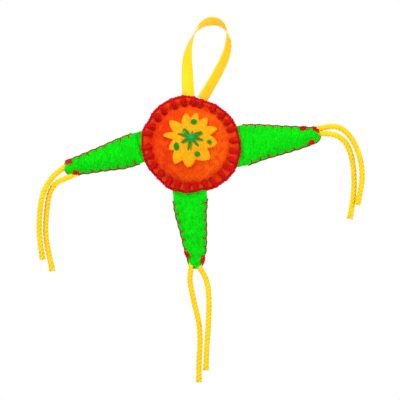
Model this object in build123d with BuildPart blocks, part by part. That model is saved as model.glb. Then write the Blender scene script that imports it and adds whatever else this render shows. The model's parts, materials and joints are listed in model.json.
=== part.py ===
from build123d import *
import os
from math import asin, cos, radians, sin, sqrt, tan

# Hanging felt ornament in the shape of a star pinata: a stuffed round disc with a sewn flower,
# three stuffed points with yarn tassels, and a ribbon loop to hang it by.
# Millimetres. +Z is up and the front faces -Y. The origin lies inside the top of the ribbon
# loop, where the hook or twig that carries the ornament goes.

# ---------------------------------------------------------------- driving dimensions
felt = 1.2                      # thickness of every layer of felt
fit_gap = 0.05                  # clearance between pieces that lie against each other
hinge_gap = 0.6                 # clearance between the rim of the disc and each point

disc_offset = -10.25            # disc centre, to the left of the top of the loop
rim_drop = 35.15                # top of the disc's edge yarn, below the top of the loop
disc_radius = 23.4              # both felt discs
seam_margin = 3.6               # flat ring where the two discs are sewn together
dome_rise = 7.8                 # how far the stuffing lifts each disc

edge_yarn = 1.8                 # thick yarn along the edge of the disc
stitch_yarn = 1.2               # yarn of one blanket stitch where it lies on the felt
stitch_reach = 3.4              # from the edge yarn to the hole of a stitch
stitch_count = 27
stitch_start = 5                # angle of the first stitch, degrees

flower_offset = (0.2, 2.4)      # flower centre from the disc centre, across and up
# tip and following notch of each petal: angle in degrees, distance from the flower centre
petal_tips = [(101, 13.4), (77, 13.6), (53, 13.6), (22, 14.3), (-7, 13.2), (-45, 13.5),
              (-95, 14.0), (-124, 14.5), (-155, 11.8), (-189, 14.3), (-222, 14.3)]
petal_notches = [(90, 11.3), (66, 10.9), (40, 10.7), (13, 10.2), (-29, 9.8), (-76, 10.7),
                 (-112, 11.6), (-146, 10.5), (-179, 9.3), (-203, 9.8), (-238, 9.4)]
petal_round = 0.5               # blunting of each petal tip and notch

floss = 0.9                     # bundle of embroidery floss
star_offset = (-0.35, 1.35)     # star centre from the flower centre
star_arms = [(130, 4.9), (167, 6.5), (219, 5.5), (266, 6.9), (313, 6.3), (345, 6.8),
             (18, 6.6), (65, 3.5)]
star_hub = 1.8                  # the arms start this far from the star's centre
# knots: across and up from the flower centre, diameter
knots = [(1.5, 8.65, 3.3), (-7.1, -3.55, 3.6), (3.25, -7.3, 3.1), (9.25, -1.25, 2.2)]
knot_height = 1.6

ribbon_width = 6.0
ribbon_thickness = 0.5
# ribbon centre line from the left foot over the top to the right foot: across, up, and the
# turn of the ribbon's width from flat towards the front (0) to edge-on (90)
ribbon_route = [(-11.35, -34.6, 0), (-11.6, -30.0, 6), (-11.95, -23.0, 28), (-11.85, -16.0, 48),
                (-10.8, -10.7, 65), (-9.5, -7.2, 77), (-7.9, -3.7, 90), (-4.3, 0.4, 112),
                (0.5, 1.85, 126), (5.2, 0.6, 112), (7.9, -3.0, 90), (8.85, -6.5, 68),
                (8.8, -10.5, 57), (7.4, -16.0, 50), (4.6, -22.0, 43), (1.0, -28.6, 34),
                (-2.4, -33.9, 14)]
tail_places = (-1.1, 6.35)      # sewn-in ribbon ends, across from the disc centre

point_margin = 2.0              # flat seam along each side of a point
base_bulge = 0.4                # how far the stuffing lifts each layer, at the disc
full_bulge = 2.4                # a quarter of the way along
tab_thickness = 0.8             # felt of the point squeezed flat between the discs

thread = 0.6                    # thin thread of the points' blanket stitch
thread_pitch = 4.4
thread_reach = 2.5              # how far each stitch reaches in from the side
wrap_yarn = 1.3                 # thick stitches that hold a tassel in the tip
wrap_reach = 3.0
tassel_yarn = 2.4
root_yarn = 1.8                 # the tassel yarn where the felt squeezes it
root_depth = 5.0
swing_gap = 0.35                # clearance between a tassel strand and its root

# Each point: where it meets the rim and where it aims (degrees, 0 to the right, 90 up), its
# length, then the half width and the sideways drift of the middle at the stations, the wraps
# as (share of the length, side), and the routes of its two strands from the tip: across, to
# the front, up.
points = {
    "left": {
        "attach": 183.0, "aim": 194.7, "length": 38.5,
        "half_widths": (7.6, 7.1, 5.6, 4.4, 3.4), "drifts": (0.0, 0.7, 0.8, 0.95, 0.9),
        "wraps": ((0.93, -1), (0.87, 1)),
        "strands": (((-1.8, 0.0, -0.3), (-6.0, -0.4, -3.6), (-10.9, -0.9, -11.4),
                     (-12.5, -1.3, -21.4), (-12.8, -1.2, -33.6), (-11.0, -0.8, -45.2)),
                    ((0.6, 0.0, -4.6), (-3.9, 0.5, -6.4), (-7.9, 1.2, -11.2),
                     (-9.4, 1.6, -20.9), (-10.0, 1.5, -32.1), (-8.4, 1.2, -41.8),
                     (-6.3, 1.0, -51.1))),
    },
    "right": {
        "attach": -0.7, "aim": 8.3, "length": 39.5,
        "half_widths": (10.1, 8.3, 6.6, 4.9, 3.4), "drifts": (0.0, 0.4, 0.0, -0.2, 0.0),
        "wraps": ((0.80, 1), (0.95, 1), (0.87, -1)),
        "strands": (((1.9, 0.0, 3.3), (7.7, -0.3, 4.3), (13.2, -0.8, 1.2), (17.4, -1.3, -5.2),
                     (20.6, -1.4, -15.2), (20.8, -1.2, -25.5), (18.3, -0.8, -35.3)),
                    ((1.9, 0.0, 0.3), (7.6, 0.3, 0.0), (12.9, 0.8, -3.7), (16.0, 1.3, -11.1),
                     (17.2, 1.4, -21.1), (16.8, 1.2, -32.1), (14.9, 1.0, -42.3))),
    },
    "bottom": {
        "attach": 269.6, "aim": 274.2, "length": 35.8,
        "half_widths": (8.4, 7.2, 6.1, 4.9, 3.3), "drifts": (0.0, -0.3, 0.4, 0.7, 0.5),
        "wraps": ((0.80, -1), (0.90, 1)),
        "strands": (((-2.9, 0.0, -1.9), (-3.4, 0.1, -6.4), (-1.5, 0.4, -15.9),
                     (1.6, 0.6, -28.0), (1.9, 0.4, -38.9), (1.1, 0.2, -48.4),
                     (1.3, 0.1, -57.0)),
                    ((2.9, 0.0, -1.9), (5.1, 0.1, -5.6), (6.4, -0.3, -14.2),
                     (6.2, -0.6, -24.0), (5.6, -0.4, -34.0), (4.9, -0.2, -43.1),
                     (4.8, -0.1, -50.9))),
    },
}
station_shares = (0.0, 0.25, 0.5, 0.75, 0.92)
bulge_shares = (base_bulge / full_bulge, 1.0, 0.9, 0.65, 0.08)

# ---------------------------------------------------------------- dependent sizes
ring_radius = disc_radius + fit_gap + edge_yarn / 2
rim_radius = ring_radius + edge_yarn / 2
dome_edge = disc_radius - seam_margin
dome_radius = (dome_edge**2 + dome_rise**2) / (2 * dome_rise)
disc_centre = Vector(disc_offset, 0, -rim_drop - rim_radius)
disc_axis = Axis(disc_centre, (0, 1, 0))
disc_front = Plane(origin=disc_centre, x_dir=(1, 0, 0), z_dir=(0, -1, 0))
disc_section = Plane(origin=disc_centre, x_dir=(1, 0, 0), z_dir=(0, 0, 1))
dome_centre = disc_centre + Vector(0, dome_radius - dome_rise - felt, 0)
front, back = -1, 1

os.makedirs("parts", exist_ok=True)


def polar(angle, distance):
    return distance * cos(radians(angle)), distance * sin(radians(angle))


def dome_arc(edge, rise, base, side):
    """Arc of a dome from its edge to its top: (distance out, height) in a radial section."""
    radius = (edge**2 + rise**2) / (2 * rise)
    half = asin(edge / radius) / 2
    middle = (radius * sin(half), side * (base + rise - radius * (1 - cos(half))))
    return ThreePointArc((edge, side * base), middle, (0, side * (base + rise)))


def felt_disc(side):
    """One stuffed felt disc: a flat seam margin, then a dome."""
    with BuildSketch(disc_section) as profile:
        with BuildLine():
            dome_arc(dome_edge, dome_rise, felt, side)
            dome_arc(dome_edge, dome_rise, 0, side)
            Line((0, side * dome_rise), (0, side * (dome_rise + felt)))
            Polyline((dome_edge, 0), (disc_radius, 0), (disc_radius, side * felt),
                     (dome_edge, side * felt))
        make_face()
    revolve(profile.sketch, axis=disc_axis)


def on_dome(across, up, lift):
    """Point at a height above the front of the disc, placed from the disc centre."""
    depth = sqrt((dome_radius + lift)**2 - across**2 - up**2)
    return dome_centre + Vector(across, -depth, up)


def bend_radii(route):
    """Largest even bend that the shorter of two runs allows, at each inner point."""
    radii = []
    for before, corner, after in zip(route, route[1:], route[2:]):
        run_in = Vector(*corner) - Vector(*before)
        run_out = Vector(*after) - Vector(*corner)
        half_turn = radians(run_in.get_angle(run_out)) / 2
        radii.append(0.45 * min(run_in.length, run_out.length) / tan(half_turn))
    return radii


def tube(path, diameter):
    """Round yarn along a finished path."""
    with BuildSketch(Plane(path @ 0, z_dir=path % 0)) as section:
        Circle(diameter / 2)
    sweep(section.sketch, path=path)


def stitch_loop(plane, outer, inner, height, yarn):
    """One stitch that goes round the edge and through the felt, in a plane across the edge."""
    corner = yarn * 0.7
    with BuildLine(plane) as path:
        FilletPolyline((outer, height), (inner, height), (inner, -height), (outer, -height),
                       radius=corner, close=True)
    tube(path.line, yarn)


# ---------------------------------------------------------------- ribbon loop
with BuildPart() as hanging_ribbon:
    for number, (across, up, turn) in enumerate(ribbon_route):
        start = ribbon_route[max(number - 1, 0)]
        end = ribbon_route[min(number + 1, len(ribbon_route) - 1)]
        along = Vector(end[0] - start[0], 0, end[1] - start[1]).normalized()
        outward = Vector(-along.Z, 0, along.X)
        width_way = outward * cos(radians(turn)) + Vector(0, sin(radians(turn)), 0)
        with BuildSketch(Plane(origin=(across, 0, up), x_dir=width_way, z_dir=along)):
            Rectangle(ribbon_width, ribbon_thickness)
    loft(ruled=True)
hanging_ribbon.part.label = "hanging_ribbon"
export_step(hanging_ribbon.part, "parts/hanging_ribbon.step")

# ---------------------------------------------------------------- disc
with BuildPart() as front_disc:
    felt_disc(front)
front_disc.part.label = "front_disc"
export_step(front_disc.part, "parts/front_disc.step")

with BuildPart() as back_disc:
    felt_disc(back)
back_disc.part.label = "back_disc"
export_step(back_disc.part, "parts/back_disc.step")

with BuildPart() as disc_filling:
    with BuildSketch(disc_section):
        with BuildLine():
            front_arc = dome_arc(dome_edge - fit_gap, dome_rise - fit_gap, 0, front)
            back_arc = dome_arc(dome_edge - fit_gap, dome_rise - fit_gap, 0, back)
            Line(front_arc @ 1, back_arc @ 1)
        make_face()
    revolve(axis=disc_axis)
disc_filling.part.label = "disc_filling"
export_step(disc_filling.part, "parts/disc_filling.step")

stitch_lift = felt + stitch_yarn / 2
with BuildPart() as disc_stitch:
    stitch_loop(disc_section, ring_radius, ring_radius - stitch_reach, stitch_lift, stitch_yarn)

with BuildPart() as disc_blanket_stitch:
    with BuildSketch(disc_section):
        with Locations((ring_radius, 0)):
            Circle(edge_yarn / 2)
    revolve(axis=disc_axis)
    add([disc_stitch.part.rotate(disc_axis, -stitch_start - number * 360 / stitch_count)
         for number in range(stitch_count)])
disc_blanket_stitch.part.label = "disc_blanket_stitch"
export_step(disc_blanket_stitch.part, "parts/disc_blanket_stitch.step")

with BuildPart() as ribbon_seam_tails:
    with BuildSketch(disc_front):
        with Locations(*[(place, ring_radius - seam_margin / 2) for place in tail_places]):
            Rectangle(ribbon_width, 2 * seam_margin)
        Circle(disc_radius, mode=Mode.INTERSECT)
        Circle(dome_edge, mode=Mode.SUBTRACT)
    extrude(amount=ribbon_thickness / 2, both=True)
ribbon_seam_tails.part.label = "ribbon_seam_tails"
export_step(ribbon_seam_tails.part, "parts/ribbon_seam_tails.step")

# ---------------------------------------------------------------- flower on the disc
petal_corners = []
for tip, notch in zip(petal_tips, petal_notches):
    petal_corners.append(polar(*tip))
    petal_corners.append(polar(*notch))
flower_back = dome_radius + fit_gap
flower_front = flower_back + felt

with BuildPart() as flower:
    with BuildSketch(disc_front):
        with Locations(flower_offset):
            with BuildLine():
                Polyline(*petal_corners, close=True)
            make_face()
        fillet(vertices(), radius=petal_round)
    extrude(amount=2 * (dome_rise + felt))
    with Locations(dome_centre):
        Sphere(flower_front, mode=Mode.INTERSECT)
        Sphere(flower_back, mode=Mode.SUBTRACT)
flower.part.label = "flower"
export_step(flower.part, "parts/flower.step")

star_lift = flower_front - dome_radius + fit_gap + floss / 2
star_across = flower_offset[0] + star_offset[0]
star_up = flower_offset[1] + star_offset[1]
with BuildPart() as flower_star_stitches:
    for angle, reach in star_arms:
        places = [polar(angle, star_hub), polar(angle, (star_hub + reach) / 2), polar(angle, reach)]
        arm_points = [on_dome(star_across + across, star_up + up, star_lift)
                      for across, up in places]
        arm_arc = Edge.make_three_point_arc(*arm_points)
        tube(arm_arc, floss)
flower_star_stitches.part.label = "flower_star_stitches"
export_step(flower_star_stitches.part, "parts/flower_star_stitches.step")

with BuildPart() as flower_knots:
    for across, up, knot_diameter in knots:
        seat = on_dome(flower_offset[0] + across, flower_offset[1] + up,
                       flower_front - dome_radius + 4 * fit_gap)
        with BuildSketch(Plane(origin=seat, z_dir=seat - dome_centre)):
            Circle(knot_diameter / 2)
        extrude(amount=knot_height)
    fillet(edges().filter_by(GeomType.CIRCLE), radius=knot_height * 0.4)
flower_knots.part.label = "flower_knots"
export_step(flower_knots.part, "parts/flower_knots.step")


# ---------------------------------------------------------------- points and their tassels
def layer_section(plane, half_width, bulge, side):
    """Section of one felt layer of a point: flat margins and a raised middle."""
    inner = half_width - point_margin
    with BuildSketch(plane) as section:
        with BuildLine():
            Polyline((-inner, 0), (-half_width, 0), (-half_width, side * felt),
                     (-inner, side * felt))
            ThreePointArc((-inner, side * felt), (0, side * (felt + bulge)), (inner, side * felt))
            Polyline((inner, side * felt), (half_width, side * felt), (half_width, 0), (inner, 0))
            ThreePointArc((inner, 0), (0, side * bulge), (-inner, 0))
        make_face()
    return section.sketch


def filling_section(plane, half_width, bulge):
    """Section of the stuffing between the two layers of a point."""
    inner = half_width - point_margin - fit_gap
    with BuildSketch(plane) as section:
        with BuildLine():
            ThreePointArc((-inner, 0), (0, bulge - fit_gap), (inner, 0))
            ThreePointArc((inner, 0), (0, fit_gap - bulge), (-inner, 0))
        make_face()
    return section.sketch


def trim_to_rim():
    """Hollow the inner end of a point to follow the rim of the disc."""
    with BuildSketch(disc_front) as rim:
        Circle(rim_radius + hinge_gap)
    extrude(rim.sketch, amount=2 * disc_radius, both=True, mode=Mode.SUBTRACT)


for name, shape in points.items():
    attach_way = Vector(cos(radians(shape["attach"])), 0, sin(radians(shape["attach"])))
    along = Vector(cos(radians(shape["aim"])), 0, sin(radians(shape["aim"])))
    outline = Plane(origin=disc_centre + attach_way * (rim_radius + hinge_gap), x_dir=along,
                    z_dir=(0, -1, 0))
    length = shape["length"]
    widths = shape["half_widths"]
    drifts = shape["drifts"]

    # stations along the point, with one more inside the rim so that the base can be hollowed
    stations = [(-1.2 * felt - shape["half_widths"][0] / 3, drifts[0], widths[0], base_bulge)]
    for share, drift, half_width, bulge in zip(station_shares, drifts, widths, bulge_shares):
        stations.append((share * length, drift, half_width, bulge * full_bulge))
    neck = stations[-1]

    def side_place(distance):
        """Half width and drift of the point at a distance along it."""
        for low, high in zip(stations, stations[1:]):
            if distance <= high[0]:
                break
        share = min((distance - low[0]) / (high[0] - low[0]), 1)
        return low[2] + share * (high[2] - low[2]), low[1] + share * (high[1] - low[1])

    def across_plane(distance, drift):
        """Plane square to the point's length, with its x across and its y to the front."""
        middle = outline.from_local_coords((distance, drift, 0))
        return Plane(origin=middle, x_dir=outline.y_dir, z_dir=outline.x_dir)

    for layer, side in (("front", 1), ("back", -1)):
        with BuildPart() as point_layer:
            loft([layer_section(across_plane(distance, drift), half_width, bulge, side)
                  for distance, drift, half_width, bulge in stations], ruled=True)
            with BuildSketch(outline):
                with BuildLine():
                    cap = ThreePointArc((neck[0], neck[1] - neck[2]), (length, drifts[-1]),
                                        (neck[0], neck[1] + neck[2]))
                    Line(cap @ 1, cap @ 0)
                make_face()
            extrude(amount=side * felt)
            trim_to_rim()
        point_layer.part.label = f"{name}_point_{layer}"
        export_step(point_layer.part, f"parts/{name}_point_{layer}.step")

    with BuildPart() as point_filling:
        loft([filling_section(across_plane(distance, drift), half_width, bulge)
              for distance, drift, half_width, bulge in stations], ruled=True)
        trim_to_rim()
    point_filling.part.label = f"{name}_point_filling"
    export_step(point_filling.part, f"parts/{name}_point_filling.step")

    with BuildPart() as point_tab:
        with BuildSketch(disc_front):
            with Locations(Location((0, 0), shape["attach"])):
                with Locations((disc_radius, 0)):
                    Rectangle(4 * seam_margin, 2 * (widths[0] - thread))
            Circle(disc_radius, mode=Mode.INTERSECT)
            Circle(dome_edge, mode=Mode.SUBTRACT)
        extrude(amount=tab_thickness / 2, both=True)
    point_tab.part.label = f"{name}_point_tab"
    export_step(point_tab.part, f"parts/{name}_point_tab.step")

    # blanket stitch: a thread along both sides and round the tip, and a stitch at each pitch
    edge_lift = felt + thread / 2
    first_stitch = thread_pitch * 0.8
    stitches = int((neck[0] - first_stitch) / thread_pitch) + 1
    edge_stops = [first_stitch / 2] + [place[0] for place in stations[2:]]
    with BuildPart() as point_stitching:
        for side in (-1, 1):
            for number in range(stitches):
                distance = first_stitch + number * thread_pitch
                half_width, drift = side_place(distance)
                stitch_loop(across_plane(distance, drift), side * (half_width + thread / 4),
                            side * (half_width - thread_reach), edge_lift, thread)
        edge_line = []
        for side in (-1, 1):
            edge_side = []
            for distance in edge_stops:
                half_width, drift = side_place(distance)
                edge_side.append((distance, drift + side * (half_width + thread / 4)))
            edge_line += edge_side[::-side]
        edge_line.insert(len(edge_stops), (length + thread / 4, drifts[-1]))
        with BuildLine(outline) as edge_path:
            FilletPolyline(*edge_line, radius=2 * thread)
        tube(edge_path.line, thread)
    point_stitching.part.label = f"{name}_point_stitching"
    export_step(point_stitching.part, f"parts/{name}_point_stitching.step")

    wrap_lift = felt + wrap_yarn / 2
    with BuildPart() as tip_binding:
        for share, side in shape["wraps"]:
            half_width, drift = side_place(share * length)
            stitch_loop(across_plane(share * length, drift), side * (half_width + wrap_yarn / 2),
                        side * (half_width + wrap_yarn / 2 - wrap_reach), wrap_lift, wrap_yarn)
    tip_binding.part.label = f"{name}_tip_binding"
    export_step(tip_binding.part, f"parts/{name}_tip_binding.step")

    tip = outline.from_local_coords((length, drifts[-1], 0))
    root_ends = []
    for letter, strand in zip("ab", shape["strands"]):
        route = [tip + Vector(*place) for place in strand]
        radii = bend_radii(route)
        print(name, letter, "bend radii", [round(radius, 1) for radius in radii])
        with BuildPart() as tassel_strand:
            with BuildLine() as strand_path:
                FilletPolyline(*route, radius=radii)
            tube(strand_path.line, tassel_yarn)
            with Locations(route[0]):
                Sphere(tassel_yarn / 2)
        strand_length = strand_path.wire().length
        print(name, letter, "length", round(strand_length, 1))
        tassel_strand.part.label = f"{name}_tassel_strand_{letter}"
        export_step(tassel_strand.part, f"parts/{name}_tassel_strand_{letter}.step")
        inward = (route[0] - route[1]).normalized()
        root_ends.append(route[0] + inward * (tassel_yarn / 2 + swing_gap))

    # the same yarn folded inside the tip, where the stitches hold it
    with BuildPart() as tassel_root:
        with BuildLine() as root_path:
            FilletPolyline(root_ends[0], root_ends[0] - along * root_depth,
                           root_ends[1] - along * root_depth, root_ends[1],
                           radius=root_yarn * 0.7)
        tube(root_path.line, root_yarn)
    tassel_root.part.label = f"{name}_tassel_root"
    export_step(tassel_root.part, f"parts/{name}_tassel_root.step")
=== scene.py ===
import json
import math
import random

import bpy
from bpy.props import FloatProperty, FloatVectorProperty, IntProperty, PointerProperty
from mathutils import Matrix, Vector


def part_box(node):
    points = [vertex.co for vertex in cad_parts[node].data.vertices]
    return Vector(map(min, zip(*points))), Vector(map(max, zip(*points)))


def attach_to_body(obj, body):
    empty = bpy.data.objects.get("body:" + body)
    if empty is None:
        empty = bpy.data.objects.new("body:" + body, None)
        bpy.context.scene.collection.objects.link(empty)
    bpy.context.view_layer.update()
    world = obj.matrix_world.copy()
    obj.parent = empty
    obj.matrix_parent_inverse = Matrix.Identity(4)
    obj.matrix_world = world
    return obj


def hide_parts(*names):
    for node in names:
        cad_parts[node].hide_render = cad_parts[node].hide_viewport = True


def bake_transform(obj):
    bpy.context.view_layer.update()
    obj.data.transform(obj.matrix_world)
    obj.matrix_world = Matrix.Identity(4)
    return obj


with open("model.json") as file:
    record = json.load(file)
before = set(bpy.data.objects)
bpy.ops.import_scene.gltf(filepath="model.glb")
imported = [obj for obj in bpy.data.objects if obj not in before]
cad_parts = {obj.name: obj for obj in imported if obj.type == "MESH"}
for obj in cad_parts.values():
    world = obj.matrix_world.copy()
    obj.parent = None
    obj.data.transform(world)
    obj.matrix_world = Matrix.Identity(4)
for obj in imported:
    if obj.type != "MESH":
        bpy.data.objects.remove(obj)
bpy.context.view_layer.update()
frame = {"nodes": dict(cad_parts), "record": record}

bl_info = {
    "name": "Felt star ornament",
    "version": (1, 0, 0),
    "blender": (4, 5, 0),
    "location": "3D View > Sidebar > Felt star",
    "description": "Builds the felt, yarn and ribbon of a hanging star ornament",
    "category": "Add Mesh",
}

MM = 0.001
FRONT, BACK = -1, 1

# ---------------------------------------------------------------- places from the frame
disc_low, disc_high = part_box("front_disc")
DISC = Vector(((disc_low.x + disc_high.x) / 2, 0, (disc_low.z + disc_high.z) / 2))
stitch_low, stitch_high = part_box("disc_blanket_stitch")
RIM_RADIUS = (stitch_high.x - stitch_low.x) / 2
HINGE_GAP = 0.6 * MM

# ---------------------------------------------------------------- places of this ornament

# Ribbon centre line (across, up) and the turn of its width from flat (0) to edge-on (90)
RIBBON_ROUTE = [(-11.35, -34.6, 0), (-11.6, -30.0, 6), (-11.95, -23.0, 28), (-11.85, -16.0, 48),
                (-10.8, -10.7, 65), (-9.5, -7.2, 77), (-7.9, -3.7, 90), (-4.3, 0.4, 112),
                (0.5, 1.85, 126), (5.2, 0.6, 112), (7.9, -3.0, 90), (8.85, -6.5, 68),
                (8.8, -10.5, 57), (7.4, -16.0, 50), (4.6, -22.0, 44), (1.0, -28.6, 42),
                (-2.2, -33.9, 38)]
# The two ends inside the seam, in the same way
RIBBON_SEWN = [(-11.3, -39.5, 0), (-4.4, -37.6, 34)]

# Blanket stitches round the disc, hand spaced: angles in degrees, 0 to the right, 90 up
DISC_STITCHES = [5, -8, -21, -31, -44, -58, -69, -83, -95, -108, -120, -135, -150, -164, -176,
                 166, 156, 141, 128, 113, 99, 86, 76, 58, 43, 31, 20]
# Outline of the disc's edge, a little uneven: angle and radius in millimetres
RIM_SHAPE = [(0, 25.6), (30, 25.0), (52, 24.2), (73, 23.6), (98, 25.3), (135, 25.3), (150, 24.6),
             (163, 25.4), (197, 24.6), (225, 23.8), (247, 24.7), (265, 24.4), (283, 23.8),
             (300, 25.0), (328, 25.8)]

PETAL_TIPS = [(101, 13.4), (77, 13.6), (53, 13.6), (22, 14.3), (-7, 13.2), (-45, 13.5),
              (-95, 14.0), (-124, 14.5), (-155, 11.8), (-189, 14.3), (-222, 14.3)]
PETAL_NOTCHES = [(90, 11.3), (66, 10.9), (40, 10.7), (13, 10.2), (-29, 9.8), (-76, 10.7),
                 (-112, 11.6), (-146, 10.5), (-179, 9.3), (-203, 9.8), (-238, 9.4)]
STAR_ARMS = [(130, 4.9, 5), (167, 6.5, 4), (219, 5.5, 3), (266, 6.9, 4), (313, 6.3, 3),
             (345, 6.8, 4), (18, 6.6, 4), (65, 3.2, 1)]
# Knots: across and up from the flower's centre, width and height
KNOTS = [(1.5, 8.65, 3.3, 3.2), (-7.1, -3.55, 3.1, 4.4), (3.25, -7.3, 3.1, 3.0),
         (9.25, -1.25, 2.4, 2.2)]
NOTCH_CUT = 0.7       # the cut goes this much deeper before the edge is smoothed, in millimetres
FLOWER = DISC + Vector((0.2, 0, 2.4)) * MM
STAR = FLOWER + Vector((-0.35, 0, 1.35)) * MM

# Stations along a point as shares of its length, and how far the stuffing lifts a layer there
STATION_SHARES = (0.0, 0.25, 0.5, 0.75, 0.92)
BULGES = (0.4, 2.4, 2.16, 1.56, 0.5)
FIRST_STITCH = 3.5 * MM       # first short stitch of a point, from its inner end
POINT_INSIDE = 4.4 * MM       # length of a point that lies inside the disc
STRAND_INSIDE = 3.6 * MM      # length of a strand that lies inside its tip

RIM_INSET = 0.2 * MM          # from the middle of the edge yarn to the cut edge of the felt
HOLE_RADIUS = 20.3 * MM       # where the blanket stitches pull the felt in
HOLE_DEPTH = 1.1 * MM
CELL_RADIUS = 22.2 * MM       # where the felt puffs up between two stitches
WAVE_RADIUS = 14 * MM         # where the dome is a little wavy
WAVE_RISE = 0.22 * MM
LEAST_FELT = 0.75 * MM        # the disc's felt is nowhere thinner, except at its cut edge
FLOWER_GAP = 0.12 * MM        # under the flower
# Each point: angle where it meets the rim, angle it aims at, length, half widths and sideways
# drifts at the stations, wraps as (share of the length, side), and two strand routes from the
# tip: across, back, up.
POINTS = {
    "left": {
        "attach": 183.0, "aim": 194.7, "length": 38.5,
        "half_widths": (7.6, 7.1, 5.6, 4.4, 3.4), "drifts": (0.0, 0.7, 0.8, 0.95, 0.9),
        "wraps": ((0.93, -1), (0.87, 1)),
        "strands": (((-1.8, 0.0, -0.3), (-6.0, -0.4, -3.6), (-10.9, -0.9, -11.4),
                     (-12.5, -1.3, -21.4), (-12.8, -1.2, -33.6), (-11.0, -0.8, -45.2)),
                    ((0.6, 0.0, -4.6), (-3.9, 0.5, -6.4), (-7.9, 1.2, -11.2),
                     (-9.4, 1.6, -20.9), (-10.0, 1.5, -32.1), (-8.4, 1.2, -41.8),
                     (-6.3, 1.0, -51.1))),
    },
    "right": {
        "attach": -0.7, "aim": 8.3, "length": 39.5,
        "half_widths": (10.1, 8.3, 6.6, 4.9, 3.4), "drifts": (0.0, 0.4, 0.0, -0.2, 0.0),
        "wraps": ((0.80, 1), (0.95, 1), (0.87, -1)),
        "strands": (((1.9, 0.0, 3.3), (7.7, -0.3, 4.3), (13.2, -0.8, 1.2), (17.4, -1.3, -5.2),
                     (20.6, -1.4, -15.2), (20.8, -1.2, -25.5), (18.3, -0.8, -35.3)),
                    ((1.9, 0.0, 0.3), (7.6, 0.3, 0.0), (12.9, 0.8, -3.7), (16.0, 1.3, -11.1),
                     (17.2, 1.4, -21.1), (16.8, 1.2, -32.1), (14.9, 1.0, -42.3))),
    },
    "bottom": {
        "attach": 269.6, "aim": 274.2, "length": 35.8,
        "half_widths": (8.4, 7.2, 6.1, 4.9, 3.3), "drifts": (0.0, -0.3, 0.4, 0.7, 0.5),
        "wraps": ((0.80, -1), (0.90, 1)),
        "strands": (((-2.9, 0.0, -1.9), (-3.4, 0.1, -6.4), (-1.5, 0.4, -15.9),
                     (1.6, 0.6, -28.0), (1.9, 0.4, -38.9), (1.1, 0.2, -48.4),
                     (1.3, 0.1, -57.0)),
                    ((2.9, 0.0, -1.9), (5.1, 0.1, -5.6), (6.4, -0.3, -14.2),
                     (6.2, -0.6, -24.0), (5.6, -0.4, -34.0), (4.9, -0.2, -43.1),
                     (4.8, -0.1, -50.9))),
    },
}


# ---------------------------------------------------------------- sizes and colours
def length(name, description, default):
    return FloatProperty(name=name, description=description, default=default, subtype="DISTANCE",
                         unit="LENGTH")


def colour(name, description, default):
    return FloatVectorProperty(name=name, description=description, default=default, size=3,
                               subtype="COLOR", min=0, max=1)


class StarFeltSizes(bpy.types.PropertyGroup):
    """Sizes of the felt pieces."""
    thickness: length("Felt", "Thickness of one layer of felt", 1.2 * MM)
    dome_edge: length("Dome edge", "Where the stuffing starts to lift the disc", 19.8 * MM)
    dome_rise: length("Dome rise", "How far the stuffing lifts the disc", 7.8 * MM)
    cell_rise: length("Cell rise", "How far the felt puffs up between two stitches", 1.2 * MM)
    margin: length("Point seam", "Flat seam along each side of a point", 2.0 * MM)
    fuzz: IntProperty(name="Fibres", description="Loose fibres on each square centimetre",
                      default=60, min=0)
    fibre_length: length("Fibre length", "Length of a loose fibre", 1.1 * MM)


class StarYarnSizes(bpy.types.PropertyGroup):
    """Sizes of the yarns and threads."""
    edge: length("Edge yarn", "Thickness of the yarn along the edge of the disc", 2.3 * MM)
    stitch: length("Stitch yarn", "Thickness of a blanket stitch on the disc", 2.4 * MM)
    stitch_reach: length("Stitch reach", "From the edge yarn to the hole of a stitch", 4.3 * MM)
    thread: length("Thread", "Thickness of the thread round the points", 0.85 * MM)
    pitch: length("Thread pitch", "Distance between two stitches of the points", 4.4 * MM)
    reach: length("Thread reach", "How far a stitch reaches in from the side", 2.5 * MM)
    wrap: length("Wrap yarn", "Thickness of the stitches that hold a tassel", 1.1 * MM)
    tassel: length("Tassel yarn", "Thickness of a tassel strand", 2.4 * MM)
    loft: FloatProperty(name="Loft", description="How far the plies of a tassel stand open",
                        default=1.25, min=1)
    floss: length("Floss", "Thickness of one strand of floss", 0.6 * MM)
    ribbon_width: length("Ribbon width", "Width of the ribbon", 6.0 * MM)
    ribbon_thickness: length("Ribbon thickness", "Thickness of the ribbon", 0.3 * MM)


class StarColours(bpy.types.PropertyGroup):
    """Colours of the materials."""
    orange: colour("Orange felt", "Felt of the disc", (1.0, 0.12, 0.0))
    # The red mottling colour is also the painted shade on the left side and near the rim of the
    # disc.
    red: colour("Red mottling", "Darker fibres in the felt of the disc", (0.72, 0.018, 0.0))
    green: colour("Green felt", "Felt of the points", (0.0, 0.70, 0.0))
    amber: colour("Amber felt", "Felt of the flower", (1.0, 0.42, 0.004))
    crimson: colour("Crimson yarn", "Yarn of the blanket stitch", (0.68, 0.003, 0.006))
    rust: colour("Rust thread", "Thread round the points", (0.42, 0.045, 0.006))
    yellow: colour("Yellow yarn", "Yarn of the tassels", (0.93, 0.62, 0.008))
    satin: colour("Yellow satin", "Ribbon", (0.92, 0.58, 0.0))
    floss: colour("Green floss", "Embroidery on the flower", (0.015, 0.42, 0.03))
    filling: colour("Filling", "Fibre filling", (0.85, 0.83, 0.78))


# ---------------------------------------------------------------- node sums
class Value:
    """A number from a node, which takes part in Python sums."""

    def __init__(self, graph, socket):
        self.graph = graph
        self.socket = socket

    def maths(self, operation, first, second):
        return self.graph.node("ShaderNodeMath", {"operation": operation}, {0: first, 1: second})

    def __add__(self, other):
        return self.maths("ADD", self, other)

    def __sub__(self, other):
        return self.maths("SUBTRACT", self, other)

    def __rsub__(self, other):
        return self.maths("SUBTRACT", other, self)

    def __mul__(self, other):
        return self.maths("MULTIPLY", self, other)

    def __pow__(self, other):
        return self.maths("POWER", self, other)

    __radd__ = __add__
    __rmul__ = __mul__


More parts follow.
